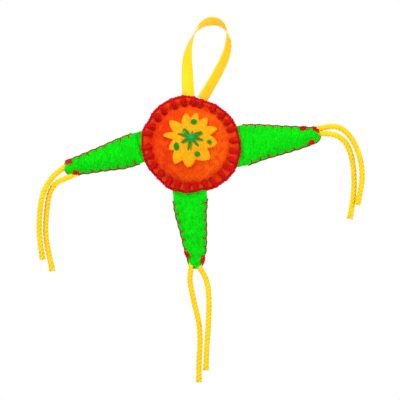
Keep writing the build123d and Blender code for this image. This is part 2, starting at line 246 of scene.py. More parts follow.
class Graph:
    """Nodes of one material or one geometry tree."""

    def __init__(self, tree):
        self.tree = tree
        self.tree.nodes.clear()

    def node(self, kind, settings=None, inputs=None, output=0):
        made = self.tree.nodes.new(kind)
        for setting, value in (settings or {}).items():
            setattr(made, setting, value)
        for key, value in (inputs or {}).items():
            if isinstance(value, Value):
                self.tree.links.new(value.socket, made.inputs[key])
            elif value is not None:
                made.inputs[key].default_value = value
        return Value(self, made.outputs[output]) if made.outputs else made

    def mix(self, share, first, second):
        """Colour between two colours."""
        pair = [(*tint, 1) if isinstance(tint, (tuple, list)) else tint
                for tint in (first, second)]
        return self.node("ShaderNodeMix", {"data_type": "RGBA"}, {0: share, 6: pair[0], 7: pair[1]},
                         output=2)

    def noise(self, place, scale, detail=2.0, distortion=0.0):
        return self.node("ShaderNodeTexNoise", {},
                         {"Vector": place, "Scale": scale, "Detail": detail,
                          "Distortion": distortion})

    def reach(self, across, up):
        """Length of a flat pair of numbers."""
        return (across * across + up * up) ** 0.5

    def stretch(self, value, low, high):
        """Takes a number from between low and high to between 0 and 1."""
        return self.node("ShaderNodeMapRange", {}, {0: value, 1: low, 2: high, 3: 0.0, 4: 1.0})


def shade(tint, factor):
    """A colour made lighter or darker."""
    return tuple(min(1.0, part * factor) for part in tint)


def finish_material(name, graph_colours, roughness, bump, bump_depth, gloss=0.12,
                    sheen_tint=None):
    """Material whose colour and bump come from graph_colours(graph, place)."""
    material = bpy.data.materials.new(name)
    material.use_nodes = True
    graph = Graph(material.node_tree)
    place = graph.node("ShaderNodeTexCoord", output=3)
    tint, height = graph_colours(graph, place)
    normal = graph.node("ShaderNodeBump", {}, {"Strength": bump, "Distance": bump_depth,
                                               "Height": height})
    inputs = {"Base Color": tint, "Roughness": roughness, "Normal": normal,
              "Specular IOR Level": gloss}
    if sheen_tint:
        inputs["Sheen Weight"] = 0.08
        inputs["Sheen Roughness"] = 0.5
        inputs["Sheen Tint"] = (*sheen_tint, 1)
    surface = graph.node("ShaderNodeBsdfPrincipled", {}, inputs)
    graph.node("ShaderNodeOutputMaterial", {}, {"Surface": surface})
    return material


def felt_material(name, base, dark, mottle, patch=None):
    """Matted fibres: soft mottling, fine flecks and a fibrous bump; with a patch span, also painted
    shade, darker and redder towards the disc's left side and in a ring near its rim.
    """
    def colours(graph, place):
        blotch = graph.stretch(graph.noise(place, 210, 3, 0.6), 0.36, 0.66)
        fleck = graph.stretch(graph.noise(place, 1300, 2, 1.5), 0.35, 0.7)
        combed = graph.node("ShaderNodeVectorMath", {"operation": "MULTIPLY"},
                            {0: place, 1: (1.0, 1.0, 0.45)})
        fibre = graph.noise(combed, 1250, 3, 1.0)
        share = blotch * mottle
        if patch:
            across, up = (graph.node("ShaderNodeSeparateXYZ", {}, {0: place}, output=number)
                          for number in (0, 2))
            # Painted shade: the felt turns darker and redder towards the left side of the disc, the
            # side away from the light.
            share = share + graph.stretch(across, *patch) * 0.8
            # Painted shade: darker and redder in a ring near the rim, between the blanket stitches.
            share = share + graph.stretch(graph.reach(across - DISC.x, up - DISC.z),
                                          17.0 * MM, 21.5 * MM) * 0.75
        tint = graph.mix(share, base, dark)
        tint = graph.mix(fleck * 0.25, tint, shade(base, 1.3))
        tint = graph.mix(graph.stretch(fibre, 0.53, 0.38) * 0.5, tint, shade(dark, 0.6))
        return tint, fibre * 0.7 + fleck * 0.5 + blotch * 0.4
    return finish_material(name, colours, 0.92, 0.8, 0.5 * MM, sheen_tint=base)


def yarn_material(name, base, dark, scale=1500, relief=0.6, painted_highlight=None):
    """Spun fibres: streaks and flecks of lighter and darker wool, and, when asked, a painted teal
    highlight round a centre.
    """
    def colours(graph, place):
        streak = graph.stretch(graph.noise(place, scale, 3, 2.5), 0.3, 0.7)
        patch = graph.noise(place, 260, 1)
        tint = graph.mix(streak * 0.55, base, dark)
        tint = graph.mix(graph.stretch(patch, 0.4, 0.75) * 0.35, tint, shade(base, 1.3))
        # Painted highlight: a lighter teal mixed in round a centre, fading out over the given
        # radius.
        if painted_highlight:
            middle, radius, highlight_tint = painted_highlight
            across, up = (graph.node("ShaderNodeSeparateXYZ", {}, {0: place}, output=number)
                          for number in (0, 2))
            near = graph.stretch(graph.reach(across - middle.x, up - middle.z), radius, 0.0)
            tint = graph.mix(near * 0.8, tint, highlight_tint)
        return tint, streak
    return finish_material(name, colours, 0.85, relief, 0.3 * MM, sheen_tint=base)


def satin_material(name, base, dark):
    """Smooth woven face with fine ribs across and soft colour bands."""
    def colours(graph, place):
        band = graph.stretch(graph.noise(place, 90, 1), 0.35, 0.7)
        ribs = graph.node("ShaderNodeTexWave", {"bands_direction": "Z"},
                          {"Vector": place, "Scale": 320, "Distortion": 0.6, "Detail": 1.0})
        tint = graph.mix(band * 0.2, base, dark)
        return tint, ribs
    return finish_material(name, colours, 0.45, 0.06, 0.05 * MM, gloss=0.25)


MATERIALS = {}


def make_materials(tints):
    mottle_and_shade_orange = tuple(tints.red)
    # The red serves the disc's mottling and its painted shade; the patch span, from right to left,
    # is where the painted shade grows darker.
    MATERIALS["orange_felt"] = felt_material("orange_felt_finish", tuple(tints.orange),
                                             mottle_and_shade_orange, 0.6,
                                             patch=(DISC.x + 9 * MM, DISC.x - 22 * MM))
    MATERIALS["green_felt"] = felt_material("green_felt_finish", tuple(tints.green),
                                            (0.0, 0.44, 0.005), 0.45)
    MATERIALS["yellow_felt"] = felt_material("amber_felt_finish", tuple(tints.amber),
                                             (1.0, 0.26, 0.0), 0.5)
    MATERIALS["red_yarn"] = yarn_material("crimson_yarn_finish", tuple(tints.crimson),
                                          (0.34, 0.0, 0.006))
    MATERIALS["rust_thread"] = yarn_material("rust_thread_finish", tuple(tints.rust),
                                             (0.20, 0.015, 0.006), 2500)
    MATERIALS["yellow_yarn"] = yarn_material("yellow_yarn_finish", tuple(tints.yellow),
                                             (0.90, 0.52, 0.004), relief=0.2)
    MATERIALS["yellow_ribbon"] = satin_material("yellow_satin_finish", tuple(tints.satin),
                                                (0.88, 0.40, 0.0))
    # The floss star gets a painted teal highlight round its middle.
    MATERIALS["green_floss"] = yarn_material("green_floss_finish", tuple(tints.floss),
                                             (0.004, 0.14, 0.02), 2200,
                                             painted_highlight=(STAR, 2.4 * MM, (0.01, 0.50, 0.16)))
    MATERIALS["fibre_filling"] = felt_material("filling_finish", tuple(tints.filling),
                                               (0.7, 0.68, 0.62), 0.5)


# ---------------------------------------------------------------- mesh helpers
def heading(angle):
    """Direction in the plane of the ornament: 0 to the right, a quarter turn up."""
    return Vector((math.cos(angle), 0, math.sin(angle)))


def crosswise(along):
    """Direction across another one in the plane of the ornament."""
    return Vector((-along.z, 0, along.x))


def placed(name, data):
    """A new object in the scene."""
    made = bpy.data.objects.new(name, data)
    bpy.context.scene.collection.objects.link(made)
    return made


def plain_mesh(name, corners, faces, slot=None, smooth=True):
    """A mesh from its corners and faces, with the material of its slot."""
    mesh = bpy.data.meshes.new(name)
    mesh.from_pydata([tuple(corner) for corner in corners], [], faces)
    if slot:
        mesh.materials.append(MATERIALS[slot])
    mesh.polygons.foreach_set("use_smooth", [smooth] * len(mesh.polygons))
    mesh.update()
    return mesh


def mesh_piece(name, corners, faces, slot, body=None):
    """A finished piece from its corners and faces, with its material, slot and body."""
    piece = placed(name, plain_mesh(name, corners, faces, slot))
    if body:
        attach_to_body(piece, body)
    return piece


def spline_line(route, steps=14):
    """Points along the smooth line that has the route as its control points."""
    curve = bpy.data.curves.new("route", "CURVE")
    curve.dimensions = "3D"
    spline = curve.splines.new("NURBS")
    spline.points.add(len(route) - 1)
    for control, place in zip(spline.points, route):
        control.co = (*place, 1)
    spline.order_u = 3
    spline.use_endpoint_u = True
    spline.resolution_u = steps
    carrier = bpy.data.objects.new("route", curve)
    mesh = bpy.data.meshes.new_from_object(carrier)
    line = [vertex.co.copy() for vertex in mesh.vertices]
    bpy.data.objects.remove(carrier)
    bpy.data.meshes.remove(mesh)
    bpy.data.curves.remove(curve)
    return line


def line_length(line):
    """Length along a line of points."""
    return sum((b - a).length for a, b in zip(line, line[1:]))


def even_line(line, step, closed=False):
    """The same line with its points an even step apart."""
    points = line + [line[0]] if closed else line
    total = line_length(points)
    count = max(int(round(total / step)), 2)
    made, walked, index = [], 0.0, 0
    for number in range(count if closed else count + 1):
        goal = total * number / count
        while index < len(points) - 2:
            leg = (points[index + 1] - points[index]).length
            if walked + leg >= goal:
                break
            walked += leg
            index += 1
        run = points[index + 1] - points[index]
        made.append(points[index] + run * ((goal - walked) / max(run.length, 1e-9)))
    return made


def frames(line, closed=False):
    """Two directions across a line at each of its points, which turn as little as they can."""
    count = len(line)
    alongs = []
    for number in range(count):
        before = line[number - 1] if number or closed else line[0]
        after = line[(number + 1) % count] if number < count - 1 or closed else line[-1]
        alongs.append((after - before).normalized())
    first = alongs[0].orthogonal().normalized()
    across = [first]
    for old, new in zip(alongs, alongs[1:]):
        across.append((old.rotation_difference(new) @ across[-1]).normalized())
    return [(side, along.cross(side)) for along, side in zip(alongs, across)]


def tube_faces(rings, sides, start=0):
    """Faces between rings of corners that follow one another."""
    faces = []
    for ring in range(rings - 1):
        low = start + ring * sides
        for corner in range(sides):
            turn = (corner + 1) % sides
            faces.append((low + corner, low + turn, low + sides + turn, low + sides + corner))
    return faces


def end_faces(rings, sides, start=0):
    """The two faces that close a tube."""
    last = start + (rings - 1) * sides
    return [tuple(reversed(range(start, start + sides))), tuple(range(last, last + sides))]


def twisted_yarn(line, thickness, plies, turn_length, closed=False, sides=7, flare=0.0,
                 ply_share=0.29):
    """Corners and faces of a yarn: plies wound round a line, closed at their ends."""
    line = even_line(line, thickness * 0.22, closed)
    axes = frames(line, closed)
    total = line_length(line)
    turns = max(1, round(total / turn_length)) if closed else total / turn_length
    ply_radius = thickness * ply_share
    orbit = thickness / 2 - ply_radius
    corners, faces = [], []
    count = len(line)
    for ply in range(plies):
        start = len(corners)
        for number, (centre, (side, rise)) in enumerate(zip(line, axes)):
            share = number / (count if closed else count - 1)
            spread = 1.0
            if flare:
                spread += flare * max(0.0, (share - 0.9) / 0.1) ** 2
            angle = 2 * math.pi * (ply / plies + turns * share)
            middle = centre + (side * math.cos(angle) + rise * math.sin(angle)) * orbit * spread
            for corner in range(sides):
                way = 2 * math.pi * corner / sides + angle
                corners.append(middle + (side * math.cos(way) + rise * math.sin(way))
                               * ply_radius)
        faces += tube_faces(count, sides, start)
        if closed:
            last = start + (count - 1) * sides
            for corner in range(sides):
                turn = (corner + 1) % sides
                faces.append((last + corner, last + turn, start + turn, start + corner))
        else:
            faces += end_faces(count, sides, start)
    return corners, faces


def joined(parts):
    """One list of corners and faces from several."""
    corners, faces = [], []
    for more_corners, more_faces in parts:
        start = len(corners)
        corners += more_corners
        faces += [tuple(start + corner for corner in face) for face in more_faces]
    return corners, faces


# ---------------------------------------------------------------- geometry nodes
def plain_result(piece):
    """Makes the result of a piece's modifiers its own plain mesh."""
    evaluated = piece.evaluated_get(bpy.context.evaluated_depsgraph_get())
    mesh = bpy.data.meshes.new_from_object(evaluated)
    mesh.name = piece.name
    piece.modifiers.clear()
    piece.data = mesh
    return piece


def set_input(modifier, name, value):
    """Sets an input of a modifier's node tree by its name."""
    for item in modifier.node_group.interface.items_tree:
        if item.item_type == "SOCKET" and item.in_out == "INPUT" and item.name == name:
            modifier[item.identifier] = value


def open_tree(name, sockets):
    """Geometry tree with a geometry input and output and named inputs."""
    tree = bpy.data.node_groups.new(name, "GeometryNodeTree")
    tree.interface.new_socket("Geometry", in_out="INPUT", socket_type="NodeSocketGeometry")
    for socket, kind in sockets:
        tree.interface.new_socket(socket, in_out="INPUT", socket_type=kind)
    tree.interface.new_socket("Geometry", in_out="OUTPUT", socket_type="NodeSocketGeometry")
    graph = Graph(tree)
    source = tree.nodes.new("NodeGroupInput")
    return graph, {socket.name: Value(graph, socket) for socket in source.outputs if socket.name}


def close_tree(graph, geometry, material):
    """Ends a geometry tree with real geometry in its material."""
    realised = graph.node("GeometryNodeRealizeInstances", {}, {0: geometry})
    finished = graph.node("GeometryNodeSetMaterial", {}, {"Geometry": realised,
                                                          "Material": material})
    graph.node("NodeGroupOutput", {}, {0: finished})


def stitch_tree():
    """Sets a stitch at every corner of a mesh, turned by the corner's own turn."""
    graph, inputs = open_tree("stitches_on_an_edge", [
        ("Stitch", "NodeSocketObject"), ("Material", "NodeSocketMaterial"),
        ("Lean", "NodeSocketFloat"), ("Least size", "NodeSocketFloat"),
        ("Seed", "NodeSocketInt")])
    stitch = graph.node("GeometryNodeObjectInfo", {}, {"Object": inputs["Stitch"]}, output=4)
    turn = graph.node("GeometryNodeInputNamedAttribute", {"data_type": "FLOAT_VECTOR"},
                      {"Name": "turn"})
    lean_most = inputs["Lean"]
    lean = graph.node("FunctionNodeRandomValue", {"data_type": "FLOAT"},
                      {2: lean_most * -1.0, 3: lean_most, 8: inputs["Seed"]}, output=1)
    size = graph.node("FunctionNodeRandomValue", {"data_type": "FLOAT"},
                      {2: inputs["Least size"], 3: 1.0, 8: inputs["Seed"] + 7}, output=1)
    leaned = graph.node("ShaderNodeCombineXYZ", {}, {1: lean})
    both = graph.node("ShaderNodeVectorMath", {"operation": "ADD"}, {0: turn, 1: leaned})
    points = graph.node("GeometryNodeInstanceOnPoints", {},
                        {"Points": inputs["Geometry"], "Instance": stitch, "Rotation": both,
                         "Scale": size})
    close_tree(graph, points, inputs["Material"])
    return graph.tree


def fibre_tree():
    """Scatters short fibres over a surface, lying at all angles."""
    graph, inputs = open_tree("fibres_on_felt", [
        ("Fibre", "NodeSocketObject"), ("Material", "NodeSocketMaterial"),
        ("Fibres per square metre", "NodeSocketFloat"), ("Seed", "NodeSocketInt")])
    fibre = graph.node("GeometryNodeObjectInfo", {}, {"Object": inputs["Fibre"]}, output=4)
    scatter = graph.tree.nodes.new("GeometryNodeDistributePointsOnFaces")
    graph.tree.links.new(inputs["Geometry"].socket, scatter.inputs["Mesh"])
    graph.tree.links.new(inputs["Fibres per square metre"].socket, scatter.inputs["Density"])
    graph.tree.links.new(inputs["Seed"].socket, scatter.inputs["Seed"])
    spin = graph.node("FunctionNodeRandomValue", {"data_type": "FLOAT_VECTOR"},
                      {0: (-0.9, -0.9, 0.0), 1: (0.9, 0.9, 6.28), 8: inputs["Seed"]})
    standing = graph.node("FunctionNodeRotateRotation", {"rotation_space": "LOCAL"},
                          {0: Value(graph, scatter.outputs["Rotation"]), 1: spin})
    size = graph.node("FunctionNodeRandomValue", {"data_type": "FLOAT"},
                      {2: 0.4, 3: 1.0, 8: inputs["Seed"] + 3}, output=1)
    points = graph.node("GeometryNodeInstanceOnPoints", {},
                        {"Points": Value(graph, scatter.outputs["Points"]), "Instance": fibre,
                         "Rotation": standing, "Scale": size})
    close_tree(graph, points, inputs["Material"])
    return graph.tree


TREES = {}


def grow(name, carrier_mesh, tree_name, slot, inputs):
    """A new piece: the result of a geometry tree on a mesh."""
    piece = placed(name, carrier_mesh)
    modifier = piece.modifiers.new("grow", "NODES")
    modifier.node_group = TREES[tree_name]
    set_input(modifier, "Material", MATERIALS[slot])
    for socket, value in inputs.items():
        set_input(modifier, socket, value)
    bpy.context.view_layer.update()
    plain_result(piece)
    return piece


def fibre_source():
    """One short bent fibre with three sides, made once and removed at the end."""
    if "single_fibre" in bpy.data.objects:
        return bpy.data.objects["single_fibre"]
    size = bpy.context.scene.star_felt.fibre_length
    line = [Vector((0, 0, -0.1)) * size, Vector((0.12, 0, 0.3)) * size,
            Vector((0.4, 0.1, 0.55)) * size]
    corners = []
    for number, centre in enumerate(line):
        thin = 0.03 * size * (1 - 0.3 * number)
        for corner in range(3):
            way = 2 * math.pi * corner / 3
            corners.append(centre + Vector((math.cos(way), math.sin(way), 0)) * thin)
    faces = tube_faces(len(line), 3) + end_faces(len(line), 3)
    return placed("single_fibre", plain_mesh("single_fibre", corners, faces, smooth=False))


def add_fuzz(name, surface, slot, body, seed, share=1.0):
    """Loose fibres on a piece's surface."""
    density = bpy.context.scene.star_felt.fuzz * 1e4 * share
    piece = grow(name, surface.data.copy(), "fibres", slot,
                 {"Fibre": fibre_source(), "Fibres per square metre": density, "Seed": seed})
    if body:
        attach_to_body(piece, body)
    return piece


# ---------------------------------------------------------------- shapes that felt takes
def hump(distance, width):
    """Smooth hump: 1 in its middle, fading out over its width."""
    return math.exp(-(distance / width) ** 2)


def rounded_edge(inward):
    """Height of a layer of felt at a distance in from its cut edge."""
    thickness = bpy.context.scene.star_felt.thickness
    return thickness * math.sqrt(1 - (1 - min(inward / thickness, 1)) ** 2)


def neighbours(places, degrees):
    """Reaches of the listed places on each side of an angle, and the share between them."""
    degrees %= 360
    ring = sorted((angle % 360, reach) for angle, reach in places)
    ring = [(ring[-1][0] - 360, ring[-1][1]), *ring, (ring[0][0] + 360, ring[0][1])]
    low, high = next(pair for pair in zip(ring, ring[1:]) if degrees <= pair[1][0])
    return low[1], high[1], (degrees - low[0]) / (high[0] - low[0])


# ---------------------------------------------------------------- shape of the disc
def ring_radius(angle):
    """Centre of the edge yarn at an angle in radians, following the uneven outline."""
    low, high, share = neighbours(RIM_SHAPE, math.degrees(angle))
    ease = share * share * (3 - 2 * share)
    return (low + (high - low) * ease) * MM - bpy.context.scene.star_yarn.edge / 2


def stitch_distance(angle, radius):
    """Distance along the rim to the nearest blanket stitch."""
    degrees = math.degrees(angle)
    nearest = min(abs((degrees - stitch + 180) % 360 - 180) for stitch in DISC_STITCHES)
    return math.radians(nearest) * radius


def disc_height(radius, angle):
    """How far the felt stands out from the seam of the disc."""
    felt = bpy.context.scene.star_felt
    edge = max(ring_radius(angle) - RIM_INSET - radius, 0)
    lift = rounded_edge(edge)
    sphere = (felt.dome_edge**2 + felt.dome_rise**2) / (2 * felt.dome_rise)
    if radius < felt.dome_edge:
        lift += math.sqrt(sphere**2 - radius**2) - (sphere - felt.dome_rise)
    away = stitch_distance(angle, radius)
    puff = 1 - hump(away, 1.5 * MM)
    lift += felt.cell_rise * puff * hump(radius - CELL_RADIUS, 1.5 * MM)
    lift -= HOLE_DEPTH * hump(radius - HOLE_RADIUS, 1.1 * MM) * hump(away, 1.7 * MM)
    lift += WAVE_RISE * math.sin(5 * angle + 1) * hump(radius - WAVE_RADIUS, 6 * MM)
    return max(lift, min(edge, LEAST_FELT))


def on_disc(across, up, lift):
    """Place on the front felt of the disc, from the disc's centre."""
    radius = math.hypot(across, up)
    height = disc_height(radius, math.atan2(up, across)) + lift
    return DISC + Vector((across, FRONT * height, up))


def disc_felt(side):
    """Corners and faces of one felt disc: a puffed outside and a flat inside."""
    rings, spokes = 64, 324
    corners, faces = [DISC + Vector((0, side * disc_height(0, 0), 0))], []
    for ring in range(1, rings + 1):
        share = math.sin(ring / rings * math.pi / 2) * 0.4 + ring / rings * 0.6
        for spoke in range(spokes):
            angle = 2 * math.pi * spoke / spokes
            radius = share * (ring_radius(angle) - RIM_INSET)
            height = disc_height(radius, angle) if ring < rings else 0
            corners.append(DISC + Vector((radius * math.cos(angle), side * height,
                                          radius * math.sin(angle))))
    corners.append(DISC.copy())
    middle = len(corners) - 1
    for spoke in range(spokes):
        turn = (spoke + 1) % spokes
        faces.append((0, 1 + spoke, 1 + turn))
        for ring in range(rings - 1):
            low, high = 1 + ring * spokes, 1 + (ring + 1) * spokes
            faces.append((low + spoke, high + spoke, high + turn, low + turn))
        rim = 1 + (rings - 1) * spokes
        faces.append((rim + turn, rim + spoke, middle))
    if side == BACK:
        faces = [tuple(reversed(face)) for face in faces]
    return corners, faces


# ---------------------------------------------------------------- shape of a point
def point_frame(shape):
    """Inner end of a point and its directions along and across."""
    attach, aim = math.radians(shape["attach"]), math.radians(shape["aim"])
    start = DISC + heading(attach) * (RIM_RADIUS + HINGE_GAP)
    along = heading(aim)
    return start, along, crosswise(along)


def between_stations(values, share):
    """Value at a share of the length, in a straight line between two stations."""
    if share <= STATION_SHARES[0]:
        return values[0]
    for number, (low, high) in enumerate(zip(STATION_SHARES, STATION_SHARES[1:])):
        if share <= high:
            part = (share - low) / (high - low)
            return values[number] + (values[number + 1] - values[number]) * part
    return values[-1]


def point_outline(shape, along):
    """Half width and drift at a distance along a point, in metres."""
    total = shape["length"] * MM
    share = along / total
    half = between_stations(shape["half_widths"], share) * MM
    neck = STATION_SHARES[-1]
    if share > neck:
        half *= math.sqrt(max(0.0, 1 - ((share - neck) / (1 - neck)) ** 2))
    wave = math.sin(math.pi * (along - FIRST_STITCH) / bpy.context.scene.star_yarn.pitch)
    half += 0.28 * MM * wave * wave * min(1, half / (3 * MM))
    return half, between_stations(shape["drifts"], share) * MM


def point_height(shape, along, aside, half):
    """How far one layer of a point stands out from its seam."""
    felt = bpy.context.scene.star_felt
    yarn = bpy.context.scene.star_yarn
    total = shape["length"] * MM
    edge = max(min(half - abs(aside), total - along), 0)
    lift = rounded_edge(edge)
    inner = max(half - 0.6 * felt.margin, 0.5 * MM)
    crown = max(0.0, 1 - (aside / inner) ** 2)
    lift += (between_stations(BULGES, along / total) * MM + 0.15 * MM) * crown ** 0.75
    near = abs((along - FIRST_STITCH + yarn.pitch / 2) % yarn.pitch - yarn.pitch / 2)
    dent = hump(near, 0.8 * MM) * hump(abs(aside) - half + yarn.reach, 0.8 * MM)
    lift -= 0.45 * MM * dent * (1 if along > 0 else 0)
    puff = hump(abs(aside) - half + 1.3 * MM, 0.9 * MM)
    lift += 0.25 * MM * puff * (1 - hump(near, 1.1 * MM))
    return max(min(lift, 0.3 * MM + 1.2 * max(along + 0.9 * MM, 0)), 0)


def point_place(shape, along, aside, depth):
    """Place from a point's inner end: along it, across it and to the back."""
    start, way, across = point_frame(shape)
    return start + way * along + across * aside + Vector((0, depth, 0))


def point_layer(shape, side):
    """Corners and faces of one felt layer of a point, closed by a flat inside."""
    rows, columns = 92, 28
    total = shape["length"] * MM
    neck = STATION_SHARES[-1] * total
    alongs = []
    for row in range(rows + 1):
        share = row / rows
        if share < 0.86:
            alongs.append(-POINT_INSIDE + (neck + POINT_INSIDE) * share / 0.86)
        else:
            alongs.append(neck + (total - neck) * math.sin((share - 0.86) / 0.14 * 1.45))
    corners, outer, inner = [], [], []
    for row, along in enumerate(alongs):
        half, drift = point_outline(shape, along)
        line_out, line_in = [], []
        for column in range(columns + 1):
            aside = half * math.sin((column / columns - 0.5) * math.pi)
            end = row in (0, rows) or column in (0, columns)
            height = 0 if end else point_height(shape, along, aside, half)
            corners.append(point_place(shape, along, drift + aside, side * height))
            line_out.append(len(corners) - 1)
            if end:
                line_in.append(len(corners) - 1)
            else:
                corners.append(point_place(shape, along, drift + aside, 0))
                line_in.append(len(corners) - 1)
        outer.append(line_out)
        inner.append(line_in)
    faces = []
    for row in range(rows):
        for column in range(columns):
            faces.append((outer[row][column], outer[row + 1][column],
                          outer[row + 1][column + 1], outer[row][column + 1]))
            inside = (inner[row][column], inner[row][column + 1],
                      inner[row + 1][column + 1], inner[row + 1][column])
            if not set(inside) <= set(outer[row] + outer[row + 1]):
                faces.append(inside)
    if side == BACK:
        faces = [tuple(reversed(face)) for face in faces]
    return corners, faces


def point_filling(shape):
    """Corners and faces of the fibre inside a point, clear of the fold at the disc."""
    felt = bpy.context.scene.star_felt
    rows, spokes = 40, 36
    near, far = 3.2 * MM, 0.93 * shape["length"] * MM
    corners = []
    for row in range(rows + 1):
        along = near + (far - near) * row / rows
        half, drift = point_outline(shape, along)
        taper = math.sqrt(1 - (2 * row / rows - 1) ** 8) * 0.98 + 0.02
        wide = max(half - 1.1 * felt.margin, 0.6 * MM) * taper
        thick = max(point_height(shape, along, 0, half) - felt.thickness * 1.1, 0.2 * MM) * taper
        for spoke in range(spokes):
            way = 2 * math.pi * spoke / spokes
            corners.append(point_place(shape, along, drift + wide * math.cos(way),
                                       -thick * math.sin(way)))
    return corners, tube_faces(rows + 1, spokes) + end_faces(rows + 1, spokes)


def edge_loop(name, outer, inner, lift, thickness, plies, turn_length, slot):
    """One stitch round an edge, in its own plane: x outwards from the edge, y to the back."""
    route = [(inner, 0, 0), (inner, -lift * 0.6, 0), (inner + 0.5 * thickness, -lift, 0),
             ((inner + outer) / 2, -lift * 1.08, 0), (outer - 0.3 * thickness, -lift * 0.85, 0),
             (outer + 0.15 * thickness, -0.2 * lift, 0), (outer + 0.15 * thickness, 0.2 * lift, 0),
             (outer - 0.3 * thickness, lift * 0.85, 0), ((inner + outer) / 2, lift * 1.08, 0),
             (inner + 0.5 * thickness, lift, 0), (inner, lift * 0.6, 0), (inner, 0.05 * lift, 0)]
    corners, faces = twisted_yarn(spline_line(route, 8), thickness, plies, turn_length)
    return placed(name, plain_mesh(name, corners, faces, slot))


def stitch_points(places):
    """Mesh of single corners that carry the turn of each stitch."""
    mesh = bpy.data.meshes.new("stitch_places")
    mesh.from_pydata([tuple(place) for place, turn in places], [], [])
    turns = mesh.attributes.new("turn", "FLOAT_VECTOR", "POINT")
    for number, (place, turn) in enumerate(places):
        turns.data[number].vector = turn
    return mesh


# ---------------------------------------------------------------- operators
class STAR_OT_stage(bpy.types.Operator):
    """Plain floor, soft light and the camera straight in front"""
    bl_idname = "star.stage"
    bl_label = "Stage"

    def execute(self, context):
        scene = context.scene
        scene.view_settings.view_transform = "Standard"
        half = 0.6
        floor_level = -0.30
        floor = bpy.data.meshes.new("floor")
        floor.from_pydata([(-half, -half, floor_level), (half, -half, floor_level),
                           (half, half, floor_level), (-half, half, floor_level)], [],
                          [(0, 1, 2, 3)])
        material = bpy.data.materials.new("pale_floor")
        material.use_nodes = True
        shader = material.node_tree.nodes["Principled BSDF"]
        shader.inputs["Base Color"].default_value = (0.9, 0.9, 0.9, 1)
        shader.inputs["Roughness"].default_value = 0.9
        floor.materials.append(material)
        placed("floor", floor)

        world = bpy.data.worlds.new("studio")
        scene.world = world
        world.use_nodes = True
        graph = Graph(world.node_tree)
        seen = graph.node("ShaderNodeLightPath")
        strength = graph.node("ShaderNodeMapRange", {}, {0: seen, 3: 0.58, 4: 1.0})
        background = graph.node("ShaderNodeBackground", {}, {"Color": (1, 1, 1, 1),
                                                             "Strength": strength})
        graph.node("ShaderNodeOutputWorld", {}, {"Surface": background})

        for name, place, size, power in (("key_light", (-0.30, -0.45, 0.40), 0.35, 4.2),
                                         ("fill_light", (0.5, -0.4, 0.05), 0.5, 1.6),
                                         ("back_light", (0.1, 0.6, 0.1), 0.5, 4.0)):
            lamp = bpy.data.lights.new(name, "AREA")
            lamp.size = size
            lamp.energy = power
            light = placed(name, lamp)
            light.location = place
            aim = Vector((DISC.x, 0, DISC.z)) - Vector(place)
            light.rotation_mode = "QUATERNION"
            light.rotation_quaternion = aim.to_track_quat("-Z", "Y")

        lens = bpy.data.cameras.new("camera")
        lens.lens = 100
        lens.sensor_width = 36
        camera = placed("camera", lens)
        view_width = 0.2
        distance = view_width * lens.lens / lens.sensor_width
        camera.location = (-5.5 * MM, -distance, -87.9 * MM)
        camera.rotation_mode = "QUATERNION"
        camera.rotation_quaternion = Vector((0, 1, 0)).to_track_quat("-Z", "Y")
        lens.clip_start = 0.05
        scene.camera = camera
        return {"FINISHED"}


class STAR_OT_tassels(bpy.types.Operator):
    """Yarn strands that hang from the tip of each point"""
    bl_idname = "star.tassels"
    bl_label = "Tassels"

    def execute(self, context):
        yarn = context.scene.star_yarn
        for name, shape in POINTS.items():
            start, along, across = point_frame(shape)
            tip = start + along * shape["length"] * MM + across * shape["drifts"][-1] * MM
            for letter, strand in zip("ab", shape["strands"]):
                route = [tip + Vector(place) * MM for place in strand]
                hidden = route[0] + (route[0] - route[1]).normalized() * STRAND_INSIDE
                line = spline_line([hidden] + route)
                strand_mesh = twisted_yarn(line, yarn.tassel * yarn.loft, 3, 6.0 * MM, sides=9,
                                           flare=0.6, ply_share=0.335)
                piece = mesh_piece(f"{name}_tassel_yarn_{letter}", *strand_mesh, "yellow_yarn")
                away = (route[1] - route[0]).normalized() * 4 * MM
                tuple(route[0] - away * 0.3)
                tuple(route[0] + away)
                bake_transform(piece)
                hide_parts(f"{name}_tassel_strand_{letter}")
                round(line_length(line), 4)
        return {"FINISHED"}


class STAR_OT_ribbon(bpy.types.Operator):
    """Satin ribbon loop that the ornament hangs by"""
    bl_idname = "star.ribbon"
    bl_label = "Ribbon loop"

    def execute(self, context):
        yarn = context.scene.star_yarn
        route = [RIBBON_SEWN[0]] + RIBBON_ROUTE + [RIBBON_SEWN[1]]
        line = spline_line([Vector((across, 0, up)) * MM for across, up, turn in route], 16)
        turns = spline_line([Vector((turn, 0, 0)) * MM for across, up, turn in route], 16)
        corners = []
        columns = 9
        count = len(line)
        for number in range(count):
            before, after = line[max(number - 1, 0)], line[min(number + 1, count - 1)]
            along = (after - before).normalized()
            turn = math.radians(turns[number].x / MM)
            wide = crosswise(along) * math.cos(turn) + Vector((0, math.sin(turn), 0))
            thick = along.cross(wide)
            for face in (1, -1):
                for column in range(columns):
                    share = column / (columns - 1) - 0.5
                    edge = 1.0 + 0.5 * (abs(share) > 0.37)
                    bow = 0.25 * MM * (1 - 4 * share * share)
                    corners.append(line[number] + wide * yarn.ribbon_width * share * face
                                   + thick * (bow + face * edge * yarn.ribbon_thickness / 2))
        faces = tube_faces(count, 2 * columns) + end_faces(count, 2 * columns)
        piece = mesh_piece("satin_ribbon", corners, faces, "yellow_ribbon")
        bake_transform(piece)
        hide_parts("hanging_ribbon")
        round(line_length(line), 4)
        return {"FINISHED"}


class STAR_OT_disc(bpy.types.Operator):
    """Two stuffed felt discs with their loose fibres"""
    bl_idname = "star.disc"
    bl_label = "Stuffed disc"

    def execute(self, context):
        for number, (side, word) in enumerate(((FRONT, "front"), (BACK, "back"))):
            corners, faces = disc_felt(side)
            piece = mesh_piece(f"{word}_disc_felt", corners, faces, "orange_felt", "disc")
            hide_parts(f"{word}_disc")
            add_fuzz(f"{word}_disc_fibres", piece, "orange_felt", "disc", 11 + number)
        return {"FINISHED"}


